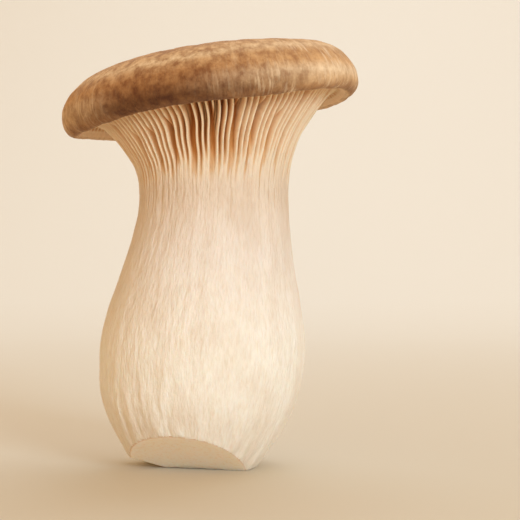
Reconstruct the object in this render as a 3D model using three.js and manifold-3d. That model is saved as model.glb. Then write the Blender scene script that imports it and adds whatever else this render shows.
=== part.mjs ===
// King oyster mushroom standing on its cut base. Millimetres, +Z up, front at -Y.
// It grew as one piece, so it is one solid: a domed cap with a turned-down margin, gills that
// run down the neck and fade out, a swollen stem, and the flat faces that a knife left below.
import * as THREE from "three";
import { mergeVertices } from "three/addons/utils/BufferGeometryUtils.js";
import Module from "manifold-3d";

const wasm = await Module();
wasm.setup();

// Every ring of the body is given by its left-most and right-most point.
// Stem, from just under the floor to below the neck: height, left X, right X.
const STEM_RINGS = [
  [-5, -19.5, 8.5],
  [0, -22.9, 13],
  [5, -25.6, 17],
  [10, -28.4, 20.6],
  [16, -31.4, 23.9],
  [22, -33.2, 26.1],
  [30, -33.7, 27.8],
  [38, -33.4, 28.2],
  [46, -31.6, 27.3],
  [54, -28.8, 26],
  [62, -26, 24.8],
  [70, -23.5, 24],
  [77, -21.9, 23.5],
];

// Neck and the edges of the gills below the cap: left X and Z, right X and Z.
const GILL_RINGS = [
  [-21.6, 82, 23.4, 83.5],
  [-21.9, 86.3, 24.1, 89.5],
  [-22.9, 89.6, 25.6, 95],
  [-24.9, 93, 27.7, 100.1],
  [-27.15, 96.2, 30.15, 104],
  [-30.15, 99.5, 33, 108],
  [-33.15, 101.9, 35.7, 111.3],
];

// Cap, in its own tilted plane: radius and height of the left side, then of the right side.
const CAP_CENTRE_X = 0.07;
const CAP_CENTRE_Z = 110.6;
const CAP_TILT = THREE.MathUtils.degToRad(7.7); // the right side stands higher
const CAP_RINGS = [
  [38.1, -2.9, 38.2, -2.3], // the last of the gills
  [39.5, -4.4, 39.6, -3.2],
  [41.2, -6.4, 41.3, -4.7], // lowest line of the turned-down margin
  [43.4, -5.5, 43.4, -4],
  [44.7, -3.2, 44.7, -2.1],
  [44.9, -0.3, 44.9, 0.1],
  [44.4, 2, 44.4, 2.6],
  [43, 4.5, 43.1, 5.2],
  [40.6, 6.8, 41, 8],
  [37.4, 9, 38, 10.1],
  [33, 10.9, 33, 11.4],
  [27, 12.4, 26.5, 12.4],
  [19, 13.5, 18, 13.3],
  [10, 14.1, 9, 14],
];
const CAP_APEX = [0, 14.2];

const DEPTH_TO_WIDTH = 0.97; // front to back, the body is a little flatter than it is wide
const RIM_WAVE = 0.45; // how far the margin rises and falls on its way round
const RIM_WAVES = 4;

// Slow swellings round the body: how many, size as a share of the radius, turn per ring.
const SWELLINGS = [
  [2, 0.006, 0.09],
  [3, 0.007, -0.13],
  [5, 0.005, 0.21],
];

// Gills: thin blades with open gaps between them.
const GILLS = 112;
const SHORT_EVERY = 4; // each fourth gill starts at the margin and ends before the neck
const GAP_DEPTH = 4.4;
const BLADE_CREST = 0.62;
const BLADE_ROOT = 1;
const GILL_BANDS = 9;
const ROUND = 48; // points round each ring where there are no gills
const NARROWED = 0.6; // a closed gap takes this share of an open one's room

// Knife faces of the base: a point on each and the way it faces.
const BASE_FACES = [
  { point: [0, 0, 0], faces: [0, 0, -1] }, // the flat that it stands on
  { point: [-6.5, -20.2, 9.2], faces: [-0.12, -0.5, -0.858] }, // slanting cut at the front
  { point: [-12, -6, 0], faces: [-0.3, -0.1, -0.95] }, // a shallow lift on the left
];
const KNIFE_BLOCK = 240; // larger than the body, so one block takes all beyond a face

const SEED = 41;

// Repeatable random numbers from 0 to 1.
function seededRandom(seed) {
  let state = seed;
  return () => {
    state = (Math.imul(state, 1664525) + 1013904223) >>> 0;
    return state / 2 ** 32;
  };
}
const random = seededRandom(SEED);

function blend(from, to, share) {
  return from + (to - from) * share;
}

// A point given in the cap's tilted plane, as the body's X and Z.
function capPoint(out, up) {
  const x = CAP_CENTRE_X + out * Math.cos(CAP_TILT) - up * Math.sin(CAP_TILT);
  const z = CAP_CENTRE_Z + out * Math.sin(CAP_TILT) + up * Math.cos(CAP_TILT);
  return new THREE.Vector3(x, 0, z);
}

const leftPoints = [
  ...STEM_RINGS.map(([z, left]) => new THREE.Vector3(left, 0, z)),
  ...GILL_RINGS.map(([x, z]) => new THREE.Vector3(x, 0, z)),
  ...CAP_RINGS.map(([out, up]) => capPoint(-out, up)),
];
const rightPoints = [
  ...STEM_RINGS.map(([z, , right]) => new THREE.Vector3(right, 0, z)),
  ...GILL_RINGS.map(([, , x, z]) => new THREE.Vector3(x, 0, z)),
  ...CAP_RINGS.map(([, , out, up]) => capPoint(out, up)),
];
const leftLine = new THREE.CatmullRomCurve3(leftPoints);
const rightLine = new THREE.CatmullRomCurve3(rightPoints);
const lastRing = leftPoints.length - 1;
const firstGillRing = STEM_RINGS.length;
const lastGillRing = firstGillRing + GILL_RINGS.length; // where the cap's own rings begin
const marginRing = lastGillRing + 2;
const swellings = SWELLINGS.map(([count, size, turn]) => ({
  count,
  size,
  turn,
  start: random() * 2 * Math.PI,
}));

// The smooth skin of the body, without gaps between gills. Ring counts up from the base.
function skinPoint(angle, ring) {
  const left = leftLine.getPoint(ring / lastRing);
  const right = rightLine.getPoint(ring / lastRing);
  const middle = left.clone().add(right).multiplyScalar(0.5);
  const half = right.clone().sub(left).multiplyScalar(0.5);
  let swell = 1;
  for (const { count, size, turn, start } of swellings) {
    swell += size * Math.cos(count * angle + turn * ring + start);
  }
  const nearMargin = Math.exp(-(((ring - marginRing) / 2) ** 2));
  const point = middle.addScaledVector(half, Math.cos(angle) * swell);
  point.y = -Math.sin(angle) * half.length() * DEPTH_TO_WIDTH * swell;
  point.z += RIM_WAVE * nearMargin * Math.sin(RIM_WAVES * angle);
  return point;
}

// Straight into the flesh from a point of the skin.
function inward(angle, ring) {
  const step = 0.01;
  const round = skinPoint(angle + step, ring).sub(skinPoint(angle - step, ring));
  const along = skinPoint(angle, ring + step).sub(skinPoint(angle, ring - step));
  return round.cross(along).normalize();
}

// Each gap closes at its own place on the way down, and each short gill ends at its own.
const gaps = Array.from({ length: GILLS }, () => blend(-0.12, 0.26, random()));
const shortEnds = Array.from({ length: GILLS }, (_, gill) =>
  gill % SHORT_EVERY === 0 ? blend(0.45, 0.75, random()) : -1,
);

function gapOpening(gap, share) {
  return THREE.MathUtils.smoothstep(share, gaps[gap] - 0.05, gaps[gap] + 0.15);
}

function gillHeight(gill, share) {
  return THREE.MathUtils.smoothstep(share, shortEnds[gill] - 0.12, shortEnds[gill] + 0.12);
}

// Depth of the open gaps: nothing at the neck, deepest under the cap, nothing at the margin.
function gapDepth(share) {
  const risen = THREE.MathUtils.smoothstep(share, 0, 0.7);
  const gone = THREE.MathUtils.smoothstep(share, 0.72, 1);
  return GAP_DEPTH * risen * (1 - gone);
}

// One ring across all gills, four points to a gill: foot, edge, edge, foot.
function gillRing(share) {
  const ring = blend(firstGillRing, lastGillRing + 1, share);
  const across = rightLine.getPoint(ring / lastRing).distanceTo(leftLine.getPoint(ring / lastRing));
  const foot = BLADE_ROOT / across; // half of a blade's foot, as an angle
  const depth = gapDepth(share);
  const rooms = gaps.map((_, gap) => {
    const open = gapOpening(gap, share);
    const split = Math.min(gillHeight(gap, share), gillHeight((gap + 1) % GILLS, share));
    return blend(NARROWED, 1, open * blend(0.6, 1, split));
  });
  const heights = rooms.map((_, gill) => gillHeight(gill, share));
  const widths = heights.map((height) => 2 * foot * blend(NARROWED, 1, height));
  const taken = widths.reduce((sum, width) => sum + width, 0);
  const free = (2 * Math.PI - taken) / rooms.reduce((sum, room) => sum + room, 0);
  const centres = [];
  let angle = 0;
  rooms.forEach((room, gill) => {
    centres.push(angle + widths[gill] / 2);
    angle += widths[gill] + free * room;
  });
  const drift = centres.reduce((sum, centre, i) => sum + centre - (2 * Math.PI * i) / GILLS, 0);
  return centres.flatMap((centre, gill) => {
    const middle = centre - drift / GILLS;
    const before = depth * gapOpening((gill + GILLS - 1) % GILLS, share);
    const after = depth * gapOpening(gill, share);
    const sunk = Math.min(before, after) * (1 - heights[gill]);
    const crest = (widths[gill] / 2) * (BLADE_CREST / BLADE_ROOT);
    const cuts = [
      [middle - widths[gill] / 2, before],
      [middle - crest, sunk],
      [middle + crest, sunk],
      [middle + widths[gill] / 2, after],
    ];
    return cuts.map(([at, deep]) => skinPoint(at, ring).addScaledVector(inward(at, ring), deep));
  });
}

function smoothRing(ring) {
  return Array.from({ length: ROUND }, (_, i) => skinPoint((2 * Math.PI * i) / ROUND, ring));
}

const rings = [];
for (let ring = 0; ring < firstGillRing; ring++) {
  rings.push(smoothRing(ring));
}
for (let band = 0; band <= GILL_BANDS; band++) {
  rings.push(gillRing(band / GILL_BANDS));
}
for (let ring = marginRing; ring <= lastRing; ring++) {
  rings.push(smoothRing(ring));
}

// Joins two rings. The one with fewer points fans out to the other.
function addBand(triangles, lower, upper) {
  const steps = Math.max(lower.count, upper.count);
  for (let i = 0; i < steps; i++) {
    const [low, nextLow, high, nextHigh] = [
      [lower, i],
      [lower, i + 1],
      [upper, i],
      [upper, i + 1],
    ].map(([ring, at]) => ring.start + (Math.floor((at * ring.count) / steps) % ring.count));
    if (low !== nextLow) {
      triangles.push(low, nextHigh, nextLow);
    }
    if (high !== nextHigh) {
      triangles.push(low, high, nextHigh);
    }
  }
}

function bodyGeometry() {
  const triangles = [];
  const points = rings.flat();
  let start = 0;
  const spans = rings.map((ring) => {
    const span = { start, count: ring.length };
    start += ring.length;
    return span;
  });
  for (let i = 1; i < spans.length; i++) {
    addBand(triangles, spans[i - 1], spans[i]);
  }
  const under = points.length;
  points.push(new THREE.Vector3((leftPoints[0].x + rightPoints[0].x) / 2, 0, leftPoints[0].z));
  const apex = points.length;
  points.push(capPoint(...CAP_APEX));
  const top = spans.at(-1).start;
  for (let i = 0; i < ROUND; i++) {
    const next = (i + 1) % ROUND;
    triangles.push(under, i, next, apex, top + next, top + i);
  }
  const geometry = new THREE.BufferGeometry().setFromPoints(points);
  geometry.setIndex(triangles);
  return geometry;
}

function toSolid(geometry) {
  const bare = geometry.clone();
  bare.deleteAttribute("normal");
  bare.deleteAttribute("uv");
  const merged = mergeVertices(bare, 1e-4);
  return new wasm.Manifold(
    new wasm.Mesh({
      numProp: 3,
      vertProperties: new Float32Array(merged.attributes.position.array),
      triVerts: new Uint32Array(merged.index.array),
    }),
  );
}

// The block that a knife takes away beyond one face.
function knifeBlock({ point, faces }) {
  const block = new THREE.BoxGeometry(KNIFE_BLOCK, KNIFE_BLOCK, KNIFE_BLOCK);
  block.translate(0, 0, KNIFE_BLOCK / 2);
  const up = new THREE.Vector3(0, 0, 1);
  const way = new THREE.Vector3(...faces).normalize();
  block.applyQuaternion(new THREE.Quaternion().setFromUnitVectors(up, way));
  block.translate(...point);
  return toSolid(block);
}

function toGeometry(solid) {
  const { vertProperties, triVerts } = solid.getMesh();
  const geometry = new THREE.BufferGeometry();
  geometry.setAttribute("position", new THREE.BufferAttribute(vertProperties, 3));
  geometry.setIndex(new THREE.BufferAttribute(triVerts, 1));
  geometry.computeVertexNormals();
  return geometry;
}

let solid = toSolid(bodyGeometry());
for (const face of BASE_FACES) {
  solid = solid.subtract(knifeBlock(face));
}
const geometry = toGeometry(solid);
geometry.computeBoundingBox();
const middle = geometry.boundingBox.getCenter(new THREE.Vector3());
geometry.translate(-middle.x, -middle.y, -geometry.boundingBox.min.z);

const flesh = new THREE.MeshStandardMaterial({ color: 0xf1e0c4, roughness: 0.75 });
const mushroom = new THREE.Mesh(geometry, flesh);
mushroom.name = "mushroom";

const model = new THREE.Group();
model.name = "king_oyster_mushroom";
model.add(mushroom);

export default model;
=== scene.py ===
# %% [markdown]
# # A king oyster mushroom
#
# The real thing is one piece of flesh: a swollen ivory stem, gills that run down a narrow neck,
# and a brown cap with a turned-down margin. It stands on the flat that a knife left.
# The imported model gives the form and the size. This file makes the same form much finer,
# raises the gills with Geometry Nodes, and gives skin, gills, flesh and cut face their looks.

import math

import bpy
import numpy as np
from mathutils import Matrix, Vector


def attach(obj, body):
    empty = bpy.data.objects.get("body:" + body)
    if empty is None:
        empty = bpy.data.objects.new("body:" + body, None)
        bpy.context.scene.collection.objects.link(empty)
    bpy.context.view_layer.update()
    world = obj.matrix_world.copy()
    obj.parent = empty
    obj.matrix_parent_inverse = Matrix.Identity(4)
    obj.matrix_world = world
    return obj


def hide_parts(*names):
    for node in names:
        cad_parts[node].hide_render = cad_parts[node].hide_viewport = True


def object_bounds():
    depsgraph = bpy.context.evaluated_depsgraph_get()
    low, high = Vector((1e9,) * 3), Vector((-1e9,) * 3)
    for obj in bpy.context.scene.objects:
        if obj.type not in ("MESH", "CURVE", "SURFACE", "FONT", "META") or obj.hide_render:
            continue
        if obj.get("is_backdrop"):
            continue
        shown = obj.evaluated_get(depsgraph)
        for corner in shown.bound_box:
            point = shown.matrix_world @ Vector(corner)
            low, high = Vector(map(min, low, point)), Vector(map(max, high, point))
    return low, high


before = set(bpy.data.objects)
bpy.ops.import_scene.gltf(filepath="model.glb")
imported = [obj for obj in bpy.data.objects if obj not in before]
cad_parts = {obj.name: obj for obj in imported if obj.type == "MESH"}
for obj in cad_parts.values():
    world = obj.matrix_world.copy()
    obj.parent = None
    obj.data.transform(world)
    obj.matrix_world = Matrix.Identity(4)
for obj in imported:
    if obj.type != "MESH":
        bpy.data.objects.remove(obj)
cad_low, cad_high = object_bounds()
MM = 0.001
print("packed nodes:", list(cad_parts))
print("packed model, mm:", [round(v / MM, 1) for v in cad_high - cad_low])

# %% [markdown]
# ## The outline
#
# A mushroom is nearly round, so two side lines say almost everything about its form. Each row
# below is one ring of the body, from the base up, in millimetres. These are the same rows that
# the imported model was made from, so the fine surface lies where the coarse one does.

# %% Rings of the stem and the gilled neck
STEM_RINGS = [  # height, left X, right X
    (-5, -19.5, 8.5),
    (0, -22.9, 13),
    (5, -25.6, 17),
    (10, -28.4, 20.6),
    (16, -31.4, 23.9),
    (22, -33.2, 26.1),
    (30, -33.7, 27.8),
    (38, -33.4, 28.2),
    (46, -31.6, 27.3),
    (54, -28.8, 26),
    (62, -26, 24.8),
    (70, -23.5, 24),
    (77, -21.9, 23.5),
]
GILL_RINGS = [  # left X and Z, right X and Z
    (-21.6, 82, 23.4, 83.5),
    (-21.9, 86.3, 24.1, 89.5),
    (-22.9, 89.6, 25.6, 95),
    (-24.9, 93, 27.7, 100.1),
    (-27.15, 96.2, 30.15, 104),
    (-30.15, 99.5, 33, 108),
    (-33.15, 101.9, 35.7, 111.3),
]
print("rings of the stem:", len(STEM_RINGS), "and of the neck:", len(GILL_RINGS))

# %% Rings of the cap
CAP_CENTRE_X, CAP_CENTRE_Z = 0.07, 110.6
CAP_TILT = math.radians(7.7)
CAP_RINGS = [  # in the cap's tilted plane: left radius and height, right radius and height
    (38.1, -2.9, 38.2, -2.3),
    (39.5, -4.4, 39.6, -3.2),
    (41.2, -6.4, 41.3, -4.7),
    (43.4, -5.5, 43.4, -4),
    (44.7, -3.2, 44.7, -2.1),
    (44.9, -0.3, 44.9, 0.1),
    (44.4, 2, 44.4, 2.6),
    (43, 4.5, 43.1, 5.2),
    (40.6, 6.8, 41, 8),
    (37.4, 9, 38, 10.1),
    (33, 10.9, 33, 11.4),
    (27, 12.4, 26.5, 12.4),
    (19, 13.5, 18, 13.3),
    (10, 14.1, 9, 14),
]
CAP_APEX = (0, 14.2)


def cap_point(out, up):
    """A point given in the cap's tilted plane, as X and Z."""
    x = CAP_CENTRE_X + out * math.cos(CAP_TILT) - up * math.sin(CAP_TILT)
    z = CAP_CENTRE_Z + out * math.sin(CAP_TILT) + up * math.cos(CAP_TILT)
    return x, z


print("the cap's right edge, X and Z:", [round(v, 1) for v in cap_point(*CAP_RINGS[5][2:])])

# %% The two side lines
left_side = np.array(
    [(left, z) for z, left, _ in STEM_RINGS]
    + [(x, z) for x, z, _, _ in GILL_RINGS]
    + [cap_point(-out, up) for out, up, _, _ in CAP_RINGS]
)
right_side = np.array(
    [(right, z) for z, _, right in STEM_RINGS]
    + [(x, z) for _, _, x, z in GILL_RINGS]
    + [cap_point(out, up) for _, _, out, up in CAP_RINGS]
)
FIRST_GILL = len(STEM_RINGS)
LAST_GILL = FIRST_GILL + len(GILL_RINGS) + 1
MARGIN = LAST_GILL + 1
LAST_RING = len(left_side) - 1
print("rings:", len(left_side), "gills from ring", FIRST_GILL, "to", LAST_GILL)

# %% [markdown]
# ## A smooth line through the rows
#
# A Catmull-Rom line passes through every point it is given, so the rows can stay few. The
# centripetal kind takes the distance between points into account and never loops or overshoots.
# The skin is then found anywhere: halfway between the two side lines, and round from there.


# %% A smooth line
def smooth_line(points, at):
    """Centripetal Catmull-Rom line through the points, read at ring numbers."""
    first = np.clip(np.floor(at).astype(int), 0, len(points) - 2)
    share = (at - first)[..., None]
    ends = [2 * points[0] - points[1]], points, [2 * points[-1] - points[-2]]
    padded = np.concatenate(ends)
    before, start, end, after = (padded[first + i] for i in range(4))

    def gap(a, b):
        return (((a - b) ** 2).sum(-1) ** 0.25)[..., None]

    gap_0, gap_1, gap_2 = gap(before, start), gap(start, end), gap(end, after)
    leave = (start - before) / gap_0 - (end - before) / (gap_0 + gap_1) + (end - start) / gap_1
    arrive = (end - start) / gap_1 - (after - start) / (gap_1 + gap_2) + (after - end) / gap_2
    leave, arrive = leave * gap_1, arrive * gap_1
    squared = (3 * (end - start) - 2 * leave - arrive) * share**2
    return start + leave * share + squared + (2 * (start - end) + leave + arrive) * share**3


below_neck = smooth_line(left_side, np.array([FIRST_GILL - 0.5]))[0]
print("left side between the last two stem rows, mm:", below_neck.round(1))

# %% Slight swellings, so that the body isn't perfectly round
MULTIPLIER, INCREMENT, LARGEST = 1664525, 1013904223, 2**32


class SeededRandom:
    """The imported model's own repeatable random numbers, so that its gills are met exactly."""

    def __init__(self, seed):
        self.state = seed

    def __call__(self):
        self.state = (self.state * MULTIPLIER + INCREMENT) % LARGEST
        return self.state / LARGEST


draw = SeededRandom(41)
SWELLINGS = [  # bulges on the way round, size as a share, turn from one ring to the next
    (2, 0.006, 0.09),
    (3, 0.007, -0.13),
    (5, 0.005, 0.21),
]
swelling_starts = [draw() * 2 * math.pi for _ in SWELLINGS]
print("swellings start at, degrees:", [round(math.degrees(start)) for start in swelling_starts])

# %% The skin at any angle and ring
DEPTH_TO_WIDTH = 0.97
RIM_WAVE, RIM_WAVES, RIM_REACH = 0.45, 4, 2  # height in mm, waves on the way round, rings
STEP = 0.01  # in radians and in rings, for measuring slopes


def skin(angle, ring):
    """Points of the skin in millimetres. Angle 0 is +X and a quarter turn is the front."""
    left, right = smooth_line(left_side, ring), smooth_line(right_side, ring)
    middle, half = (left + right) / 2, (right - left) / 2
    swell = np.ones(np.broadcast(angle, ring).shape)
    for (count, size, turn), start in zip(SWELLINGS, swelling_starts):
        swell = swell + size * np.cos(count * angle + turn * ring + start)
    near_margin = np.exp(-(((ring - MARGIN) / RIM_REACH) ** 2))
    x = middle[..., 0] + half[..., 0] * np.cos(angle) * swell
    y = -np.sin(angle) * np.hypot(half[..., 0], half[..., 1]) * DEPTH_TO_WIDTH * swell
    z = middle[..., 1] + half[..., 1] * np.cos(angle) * swell
    z = z + RIM_WAVE * near_margin * np.sin(RIM_WAVES * angle)
    return np.stack([x, y, z], -1)


def inward(angle, ring):
    """Unit vectors straight into the flesh."""
    around = skin(angle + STEP, ring) - skin(angle - STEP, ring)
    along = skin(angle, ring + STEP) - skin(angle, ring - STEP)
    into = np.cross(around, along)
    return into / np.linalg.norm(into, axis=-1, keepdims=True)


WIDEST_RING = MARGIN + 3.0
rightmost, leftmost = skin(np.array([0.0, math.pi]), np.array([WIDEST_RING, WIDEST_RING]))
print("cap at its widest, mm:", round(float(rightmost[0] - leftmost[0]), 1))

# %% [markdown]
# ## Where the gills run
#
# Gills are thin blades with open gaps. Going down the neck, gaps close one by one, so blades
# seem to merge, and each fourth blade is a short one that starts at the margin and never
# reaches the neck. Every row of points is laid out blade by blade: the foot, the edge in three
# points, the other foot, and the middle of the gap. The points then follow each blade, and a
# sharp edge costs few of them. The rows hold how deep each point will sink, not the depth itself.

# %% Where gaps close and short blades end
GILLS, SHORT_EVERY = 112, 4
GAPS_CLOSE = (-0.12, 0.26)  # as shares of the way from the neck to the margin
SHORT_BLADES_END = (0.45, 0.75)
NEVER = -1.0  # the end of a blade that runs all the way down


def ease(value, low, high):
    """0 below low, 1 above high, and a soft rise between."""
    share = np.clip((value - low) / (high - low), 0, 1)
    return share * share * (3 - 2 * share)


def mix(a, b, share):
    return a + (b - a) * share


gap_ends = np.array([mix(*GAPS_CLOSE, draw()) for _ in range(GILLS)])
short_ends = np.array(
    [mix(*SHORT_BLADES_END, draw()) if gill % SHORT_EVERY == 0 else NEVER for gill in range(GILLS)]
)
print("gills:", GILLS, "short ones:", int((short_ends > 0).sum()))

# %% Furrows below the gills, and little blades in the gaps
FURROW, FURROW_START = 0.09, 11.2  # depth as a share of the gaps' depth, and the first ring
FURROW_CONTRAST = 1.5  # above 1, so that most furrows are shallow
LITTLE_BLADES, LITTLE_HEIGHT = 0.65, 0.6  # share of the gaps that hold one, share of gap depth
LITTLE_BLADES_START = (0.35, 0.8)
DEEP_FROM, DEEP_TO = 0.7, 0.72  # where gaps have their full depth
furrows = np.array([draw() ** FURROW_CONTRAST for _ in range(GILLS)])
little_starts = np.array([mix(*LITTLE_BLADES_START, draw()) for _ in range(GILLS)])
little_heights = np.array([LITTLE_HEIGHT * (draw() < LITTLE_BLADES) for _ in range(GILLS)])


def share_of_depth(share):
    """Nothing at the neck, deepest under the cap, nothing at the margin."""
    return ease(share, 0, DEEP_FROM) * (1 - ease(share, DEEP_TO, 1))


def furrow_fade(ring):
    """Shallow furrows go on down the stem where the gaps have closed, and fade out."""
    return ease(ring, FURROW_START, FIRST_GILL + 1) * (1 - ease(ring, FIRST_GILL + 2, LAST_GILL))


print("little blades:", int((little_heights > 0).sum()))

# %% One row of points across all gills
BLADE_FOOT, BLADE_EDGE = 1.0, 0.5  # half the width of a blade at its foot and at its edge, mm
NARROWED, UNSPLIT = 0.6, 0.6  # shares of an open gap's room: when closed, past a short blade
GAP_EASE_BELOW, GAP_EASE_ABOVE = 0.05, 0.15  # how softly a gap opens
SHORT_EASE, LITTLE_EASE = 0.12, 0.15  # how softly short and little blades begin
# the pale tone of the blade edges is a painted highlight where light catches them
EDGE_HIGHLIGHT_EASE = 0.15  # how softly the edges' pale tone begins
EDGE_RISE, GAP_MIDDLE = 0.03, 1.04  # an edge stands proud in its middle, a gap sinks deeper there
FOOT_HIGHLIGHT = 0.3  # share of an edge's pale tone that its foot has


def gill_row(share):
    """Angles, sinking and painted edge highlight of one ring of points across all gills."""
    ring = mix(FIRST_GILL, LAST_GILL, share)
    here = np.array([ring])
    across = float(np.linalg.norm(smooth_line(right_side, here) - smooth_line(left_side, here)))
    opened = ease(share, gap_ends - GAP_EASE_BELOW, gap_ends + GAP_EASE_ABOVE)
    height = ease(share, short_ends - SHORT_EASE, short_ends + SHORT_EASE)
    split = np.minimum(height, np.roll(height, -1))
    rooms = mix(NARROWED, 1, opened * mix(UNSPLIT, 1, split))
    widths = 2 * BLADE_FOOT / across * mix(NARROWED, 1, height)
    free = (2 * math.pi - widths.sum()) / rooms.sum()
    starts = np.concatenate([[0], np.cumsum(widths + free * rooms)[:-1]])
    middles = starts + widths / 2
    middles -= (middles - 2 * math.pi * np.arange(GILLS) / GILLS).mean()
    edge = widths / 2 * BLADE_EDGE / BLADE_FOOT
    before, after = np.roll(opened, 1), opened
    sunk = np.minimum(before, after) * (1 - height)
    angles = [
        middles - widths / 2,
        middles - edge,
        middles,
        middles + edge,
        middles + widths / 2,
        middles + widths / 2 + free * rooms / 2,
    ]
    little = little_heights * ease(share, little_starts, little_starts + LITTLE_EASE)
    edge_middle, gap_middle = sunk - EDGE_RISE * height, after * (GAP_MIDDLE - little)
    sinking = [before, sunk, edge_middle, sunk, after, gap_middle]
    sinking = [part * share_of_depth(share) for part in sinking]
    sinking[-1] = np.maximum(sinking[-1], FURROW * furrows * furrow_fade(ring))
    # share of painted highlight: most on blade edges, some on their feet and on little blades
    blade = [FOOT_HIGHLIGHT * height, height, height, height, FOOT_HIGHLIGHT * height, little]
    blade = [part * ease(share, 0, EDGE_HIGHLIGHT_EASE) for part in blade]
    return ring, *(np.stack(v, 1).ravel() for v in (angles, sinking, blade))


ring, angles, sinking, blade = gill_row(0.6)
print("points across the gills:", len(angles), "deepest share:", round(float(sinking.max()), 2))

# %% [markdown]
# ## One closed surface
#
# The rows are stacked from the middle of the base to the top of the cap. Rows with and without
# gills differ in how many points they have, and a band of triangles joins any two rows. Each
# point also gets its way into the flesh and its way up the surface, for the trees to use.

# %% Rows of the stem, the gills and the cap
STEM_ROWS, GILL_ROWS, CAP_ROWS = 104, 62, 52
NECK_STEP, MARGIN_STEP = 0.08, 0.15  # in rings, between rows without gills and rows with them
EVEN_SPREAD = 1 / 6  # of the way to the next gill: three columns, all equally far apart
FOOT_SPREAD = 0.38  # the same at the neck, where the columns meet the feet of the blades
ROUND = GILLS * 3  # two columns beside each gill and one in the middle of its gap


def plain_row(ring):
    """Angles of one ring of points where there are no gills, and its furrows."""
    towards_gills = ease(ring, FURROW_START, FIRST_GILL) if ring < MARGIN else 0
    spread = mix(EVEN_SPREAD, FOOT_SPREAD, towards_gills)
    places = np.arange(GILLS)[:, None] + np.array([-spread, spread, 0.5])
    angle = 2 * math.pi * places.ravel() / GILLS
    sinking = np.zeros(ROUND)
    sinking[2::3] = FURROW * furrows * furrow_fade(ring)
    return ring, angle, sinking, np.zeros(ROUND)


cap_way = LAST_RING - LAST_GILL - MARGIN_STEP
rows = [plain_row(ring) for ring in np.linspace(0, FIRST_GILL - NECK_STEP, STEM_ROWS)]
rows += [gill_row(share) for share in np.linspace(0, 1, GILL_ROWS)]
cap_rings = LAST_GILL + MARGIN_STEP + cap_way * np.linspace(0, 1, CAP_ROWS)
rows += [plain_row(ring) for ring in cap_rings]
print("rows:", len(rows), "points:", sum(len(row[1]) for row in rows))

# %% What each point knows
columns = {name: [] for name in ("point", "inward", "upward", "sinking", "blade", "ring", "angle")}
for ring, angle, sinking, blade in rows:
    at = np.full(len(angle), float(ring))
    inside = np.clip(at, STEP, LAST_RING - STEP)
    columns["point"].append(skin(angle, at))
    columns["inward"].append(inward(angle, inside))
    columns["upward"].append(skin(angle, inside + STEP) - skin(angle, inside - STEP))
    columns["sinking"].append(sinking)
    columns["blade"].append(blade)
    columns["ring"].append(at)
    columns["angle"].append(angle)
print("kept for each point:", ", ".join(columns))

# %% Close the base and the top
BASE_ROWS, TOP_ROWS = 4, 6
INTO_BASE, INTO_TOP = np.array([0, 0, 1.0]), np.array([0, 0, -1.0])
base_angles = columns["angle"][0]


def shrinking(count):
    """Shares that lead from an edge to its middle, both left out."""
    return np.linspace(1, 0, count + 1)[1:-1]


def plain_columns(points, into, ring):
    """What the points of a closing ring know."""
    count = len(points)
    around = base_angles[:count]
    return {
        "point": points,
        "inward": np.tile(into, (count, 1)),
        "upward": np.stack([-np.cos(around), np.sin(around), 0 * around], 1),
        "sinking": np.zeros(count),
        "blade": np.zeros(count),
        "ring": np.full(count, float(ring)),
        "angle": around,
    }


base_edge, top_edge = columns["point"][0], columns["point"][-1]
bottom_middle = np.array([(left_side[0, 0] + right_side[0, 0]) / 2, 0, left_side[0, 1]])
base_rings = [mix(bottom_middle, base_edge, share) for share in shrinking(BASE_ROWS)]
for ring_points in base_rings + [bottom_middle[None]]:
    for name, value in plain_columns(ring_points, INTO_BASE, 0).items():
        columns[name].insert(0, value)

top_x, top_z = cap_point(*CAP_APEX)
top_middle = np.array([top_x, 0, top_z])
edge_height = top_edge[:, 2].mean()
top_rings = []
for share in shrinking(TOP_ROWS):
    crowned = mix(top_middle, top_edge, share)
    crowned[:, 2] = mix(edge_height, top_edge[:, 2], share) + (top_z - edge_height) * (1 - share**2)
    top_rings.append(crowned)
for number, ring_points in enumerate(top_rings + [top_middle[None]]):
    ring = LAST_RING + (number + 1) / TOP_ROWS
    for name, value in plain_columns(ring_points, INTO_TOP, ring).items():
        columns[name].append(value)
counts = [len(points) for points in columns["point"]]
print("rings that close the base:", len(base_rings), "and the top:", len(top_rings))

# %% Join the rows with triangles
starts = np.concatenate([[0], np.cumsum(counts)])


def band(low, high):
    """Triangles between two stacked rows. The row with fewer points fans out to the other."""
    steps = max(counts[low], counts[high])
    i = np.arange(steps)
    lower, lower_next, upper, upper_next = (
        starts[row] + (at * counts[row] // steps) % counts[row]
        for row, at in ((low, i), (low, i + 1), (high, i), (high, i + 1))
    )
    wide = np.stack([lower, upper_next, lower_next], 1)[lower != lower_next]
    tall = np.stack([lower, upper, upper_next], 1)[upper != upper_next]
    return np.concatenate([wide, tall])


faces = np.concatenate([band(row, row + 1) for row in range(len(counts) - 1)])
values = {name: np.concatenate(parts) for name, parts in columns.items()}
print("triangles:", len(faces), "points:", len(values["point"]))

# %% [markdown]
# ## The knife faces
#
# The stem was cut off with a knife: one flat that it stands on, a slanting cut at the front and
# a shallow lift on the left. A point beyond a face goes straight back to it. How far it had been
# beyond is kept, because the skin ends where that number is zero, and the material needs it.

# %% Cut the base
KNIFE_FACES = [  # a point on the face, and the way that it faces: front, left, flat
    ((-6.5, -20.2, 9.2), (-0.12, -0.5, -0.858)),
    ((-12, -6, 0), (-0.3, -0.1, -0.95)),
    ((0, 0, 0), (0, 0, -1)),
]
DEEP_INSIDE = -99.0
shaved = np.full(len(values["point"]), DEEP_INSIDE)
for place, faces_way in KNIFE_FACES:
    way = np.array(faces_way) / np.linalg.norm(faces_way)
    beyond = (values["point"] - place) @ way
    shaved = np.maximum(shaved, beyond)
    values["point"] -= np.clip(beyond, 0, None)[:, None] * way
values["shaved"] = shaved
print("points on knife faces:", int((shaved > 0).sum()))

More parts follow.
